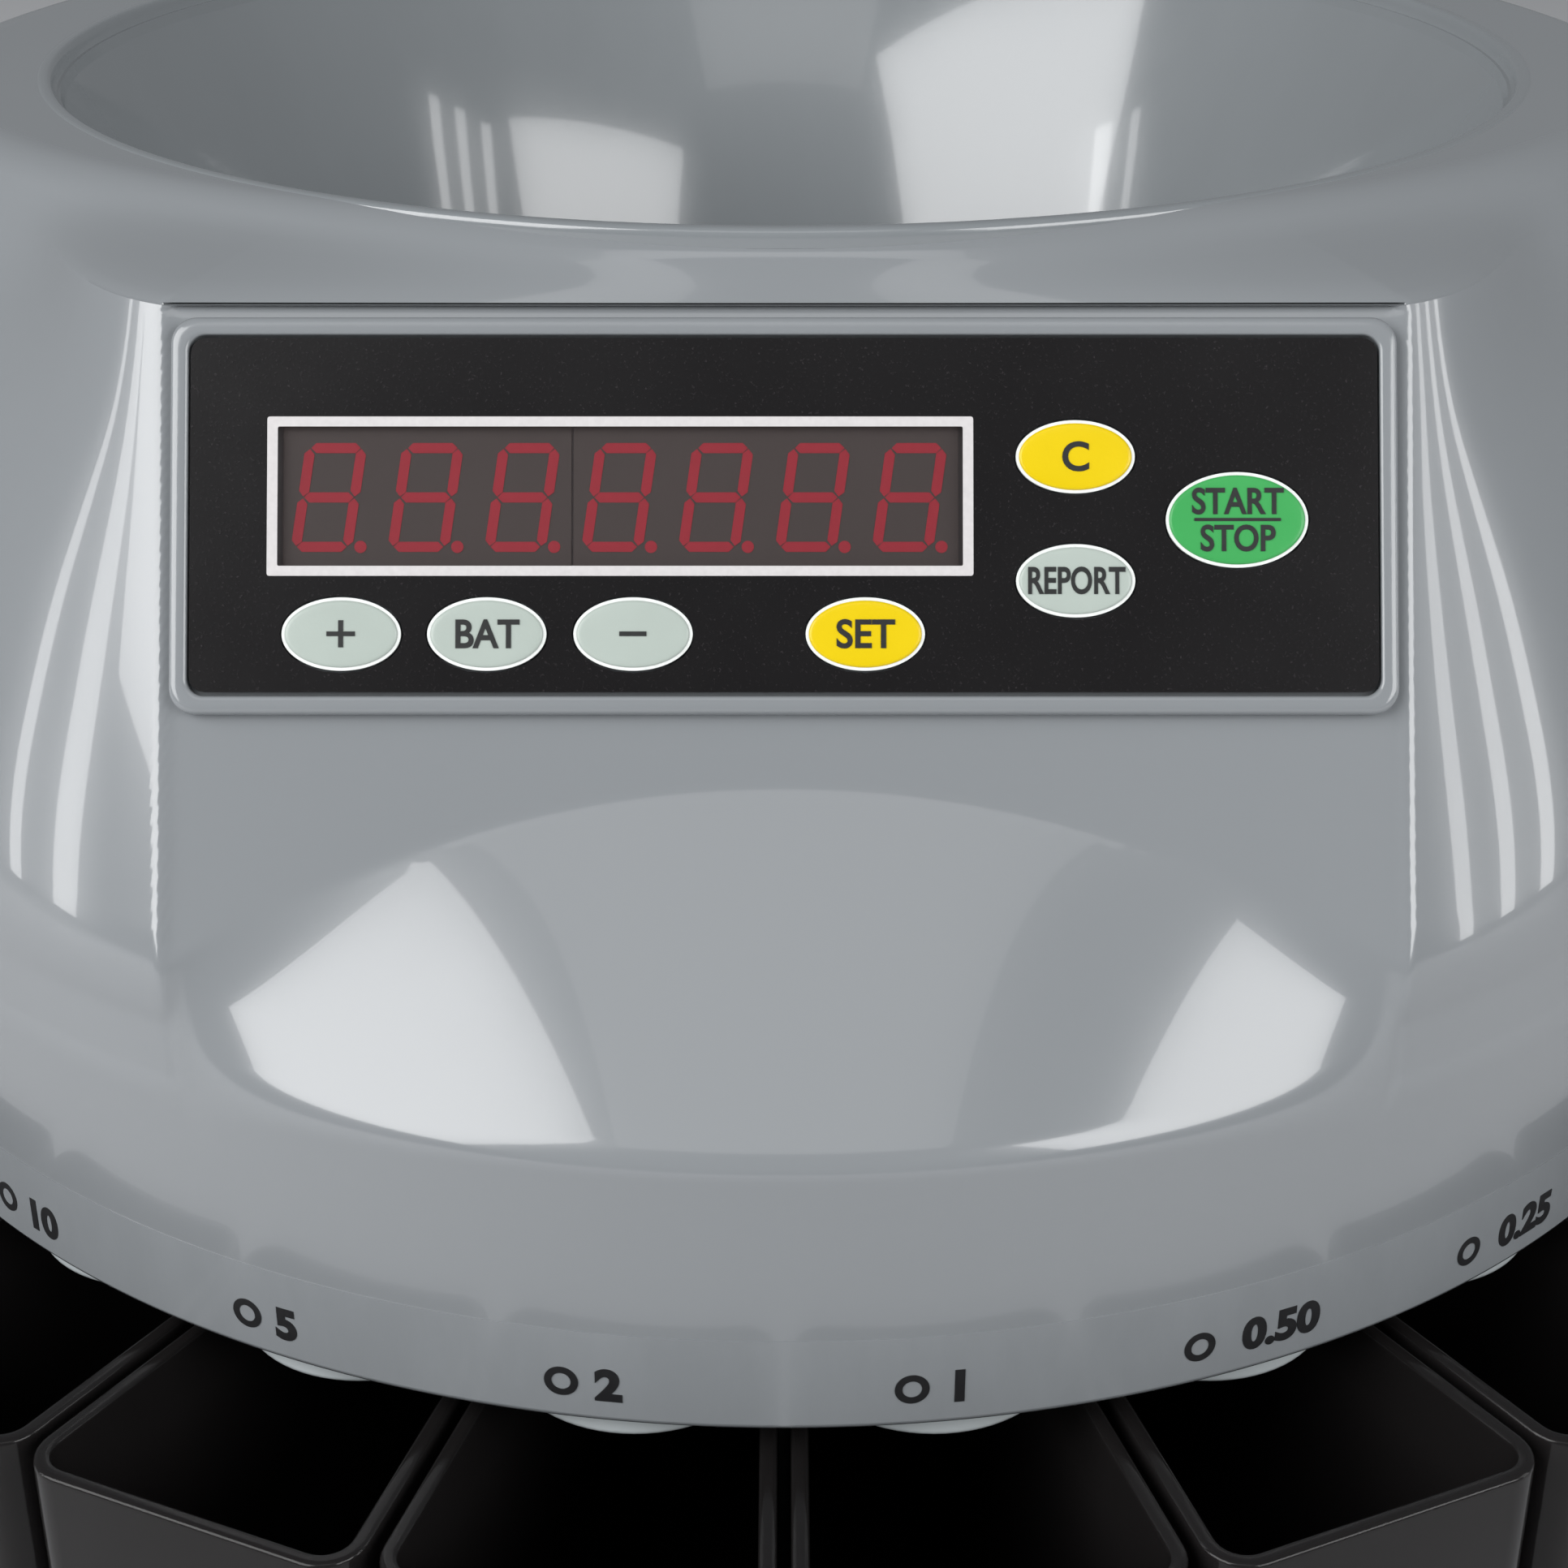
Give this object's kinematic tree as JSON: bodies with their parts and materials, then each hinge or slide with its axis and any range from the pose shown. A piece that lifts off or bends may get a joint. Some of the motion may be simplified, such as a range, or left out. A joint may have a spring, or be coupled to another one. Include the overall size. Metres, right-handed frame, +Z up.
{
  "type": "coin counter",
  "caption": "Desktop coin sorting and counting machine with a round hopper, a tilted key panel and a fan of pull-out coin cups.",
  "frame": {"origin": "middle of the machine's footprint, on the surface it stands on", "axes": "+Z up, -Y towards the user (the panel's side), +X to the user's right"},
  "size_m": [0.345, 0.366, 0.2654],
  "materials": {
    "shell_grey": "glossy moulded ABS, blue-grey",
    "hopper_grey": "satin moulded ABS, grey",
    "body_grey": "moulded ABS, grey",
    "base_dark": "moulded ABS, dark grey",
    "smoke": "smoke-tinted clear plastic",
    "chute_grey": "moulded plastic, grey",
    "strip_clear": "clear label strip with plain printed values",
    "label_black": "fine-textured black film",
    "window_tint": "tinted window",
    "led_grey": "seven-segment display block",
    "board_green": "circuit board",
    "key_pale": "pale key film",
    "key_yellow": "yellow key film",
    "key_green": "green key film",
    "deck_plastic": "moulded acetal, off-white",
    "disc_finish": "moulded plastic disc",
    "steel": "plain steel",
    "zinc_sheet": "zinc-plated sheet",
    "motor_metal": "motor can",
    "fitting_black": "moulded plastic, black",
    "rocker_red": "red rocker",
    "rubber": "black rubber",
    "transformer_iron": "laminated core with winding"
  },
  "bodies": {
    "base": {"base_tray": "base_dark", "rubber_foot_1": "rubber", "rubber_foot_2": "rubber", "rubber_foot_3": "rubber", "rubber_foot_4": "rubber", "body_shell": "body_grey", "power_inlet": "fitting_black", "switch_housing": "fitting_black", "fuse_cap": "fitting_black", "data_socket": "steel", "transformer": "transformer_iron", "main_board": "board_green", "sorting_deck": "deck_plastic", "coin_fence": "deck_plastic", "coin_sensor": "fitting_black", "coin_chute_1": "chute_grey", "coin_chute_2": "chute_grey", "coin_chute_3": "chute_grey", "coin_chute_4": "chute_grey", "coin_chute_5": "chute_grey", "coin_chute_6": "chute_grey", "coin_chute_7": "chute_grey", "coin_chute_8": "chute_grey", "shaft_bearing": "steel", "bearing_housing": "fitting_black", "gear_motor": "motor_metal", "motor_bracket": "zinc_sheet", "drive_belt": "rubber", "upper_shell": "shell_grey", "shell_screw_1": "steel", "shell_screw_2": "steel", "denomination_strip": "strip_clear", "hopper_bowl": "hopper_grey", "console_plate": "shell_grey", "membrane_overlay": "label_black", "display_window": "window_tint", "led_module_left": "led_grey", "led_module_right": "led_grey", "display_board": "board_green"},
    "rotor": {"sorting_disc": "disc_finish", "disc_cap": "hopper_grey", "disc_shaft": "steel", "drive_pulley": "fitting_black"},
    "motor_rotor": {"motor_pulley": "fitting_black"},
    "power_rocker": {"power_rocker": "rocker_red"},
    "cup_1": {"coin_cup_1": "smoke"},
    "cup_2": {"coin_cup_2": "smoke"},
    "cup_3": {"coin_cup_3": "smoke"},
    "cup_4": {"coin_cup_4": "smoke"},
    "cup_5": {"coin_cup_5": "smoke"},
    "cup_6": {"coin_cup_6": "smoke"},
    "cup_7": {"coin_cup_7": "smoke"},
    "cup_8": {"coin_cup_8": "smoke"},
    "key_plus": {"key_plus": "key_pale"},
    "key_batch": {"key_batch": "key_pale"},
    "key_minus": {"key_minus": "key_pale"},
    "key_set": {"key_set": "key_yellow"},
    "key_clear": {"key_clear": "key_yellow"},
    "key_report": {"key_report": "key_pale"},
    "key_start": {"key_start": "key_green"}
  },
  "joints": [
    {"name": "disc_spin", "type": "hinge", "parent": "base", "child": "rotor", "pos_m": [0, 0.03703, 0.1575], "axis": [0, 0, 1], "continuous": true},
    {"name": "motor_spin", "type": "hinge", "parent": "base", "child": "motor_rotor", "pos_m": [0, 0.11703, 0.131], "axis": [0, 0, 1], "continuous": true},
    {"name": "power_rock", "type": "hinge", "parent": "base", "child": "power_rocker", "pos_m": [0.003, 0.15802, 0.046], "axis": [0, 0, 1], "range_deg": [-18, 0]},
    {"name": "cup_1_slide", "type": "slide", "parent": "base", "child": "cup_1", "axis": [-0.829, -0.5592, 0], "range_m": [0, 0.11]},
    {"name": "cup_2_slide", "type": "slide", "parent": "base", "child": "cup_2", "axis": [-0.6428, -0.766, 0], "range_m": [0, 0.11]},
    {"name": "cup_3_slide", "type": "slide", "parent": "base", "child": "cup_3", "axis": [-0.4067, -0.9135, 0], "range_m": [0, 0.11]},
    {"name": "cup_4_slide", "type": "slide", "parent": "base", "child": "cup_4", "axis": [-0.1392, -0.9903, 0], "range_m": [0, 0.11]},
    {"name": "cup_5_slide", "type": "slide", "parent": "base", "child": "cup_5", "axis": [0.1392, -0.9903, 0], "range_m": [0, 0.11]},
    {"name": "cup_6_slide", "type": "slide", "parent": "base", "child": "cup_6", "axis": [0.4067, -0.9135, 0], "range_m": [0, 0.11]},
    {"name": "cup_7_slide", "type": "slide", "parent": "base", "child": "cup_7", "axis": [0.6428, -0.766, 0], "range_m": [0, 0.11]},
    {"name": "cup_8_slide", "type": "slide", "parent": "base", "child": "cup_8", "axis": [0.829, -0.5592, 0], "range_m": [0, 0.11]},
    {"name": "key_plus_press", "type": "slide", "parent": "base", "child": "key_plus", "axis": [0, 0.8821, -0.471], "range_m": [0, 0.0005], "stiffness_N_per_m": 800},
    {"name": "key_batch_press", "type": "slide", "parent": "base", "child": "key_batch", "axis": [0, 0.8821, -0.471], "range_m": [0, 0.0005], "stiffness_N_per_m": 800},
    {"name": "key_minus_press", "type": "slide", "parent": "base", "child": "key_minus", "axis": [0, 0.8821, -0.471], "range_m": [0, 0.0005], "stiffness_N_per_m": 800},
    {"name": "key_set_press", "type": "slide", "parent": "base", "child": "key_set", "axis": [0, 0.8821, -0.471], "range_m": [0, 0.0005], "stiffness_N_per_m": 800},
    {"name": "key_clear_press", "type": "slide", "parent": "base", "child": "key_clear", "axis": [0, 0.8821, -0.471], "range_m": [0, 0.0005], "stiffness_N_per_m": 800},
    {"name": "key_report_press", "type": "slide", "parent": "base", "child": "key_report", "axis": [0, 0.8821, -0.471], "range_m": [0, 0.0005], "stiffness_N_per_m": 800},
    {"name": "key_start_press", "type": "slide", "parent": "base", "child": "key_start", "axis": [0, 0.8821, -0.471], "range_m": [0, 0.0005], "stiffness_N_per_m": 800}
  ],
  "couplings": [
    {"joint": "motor_spin", "follows": "disc_spin", "ratio": 3}
  ]
}
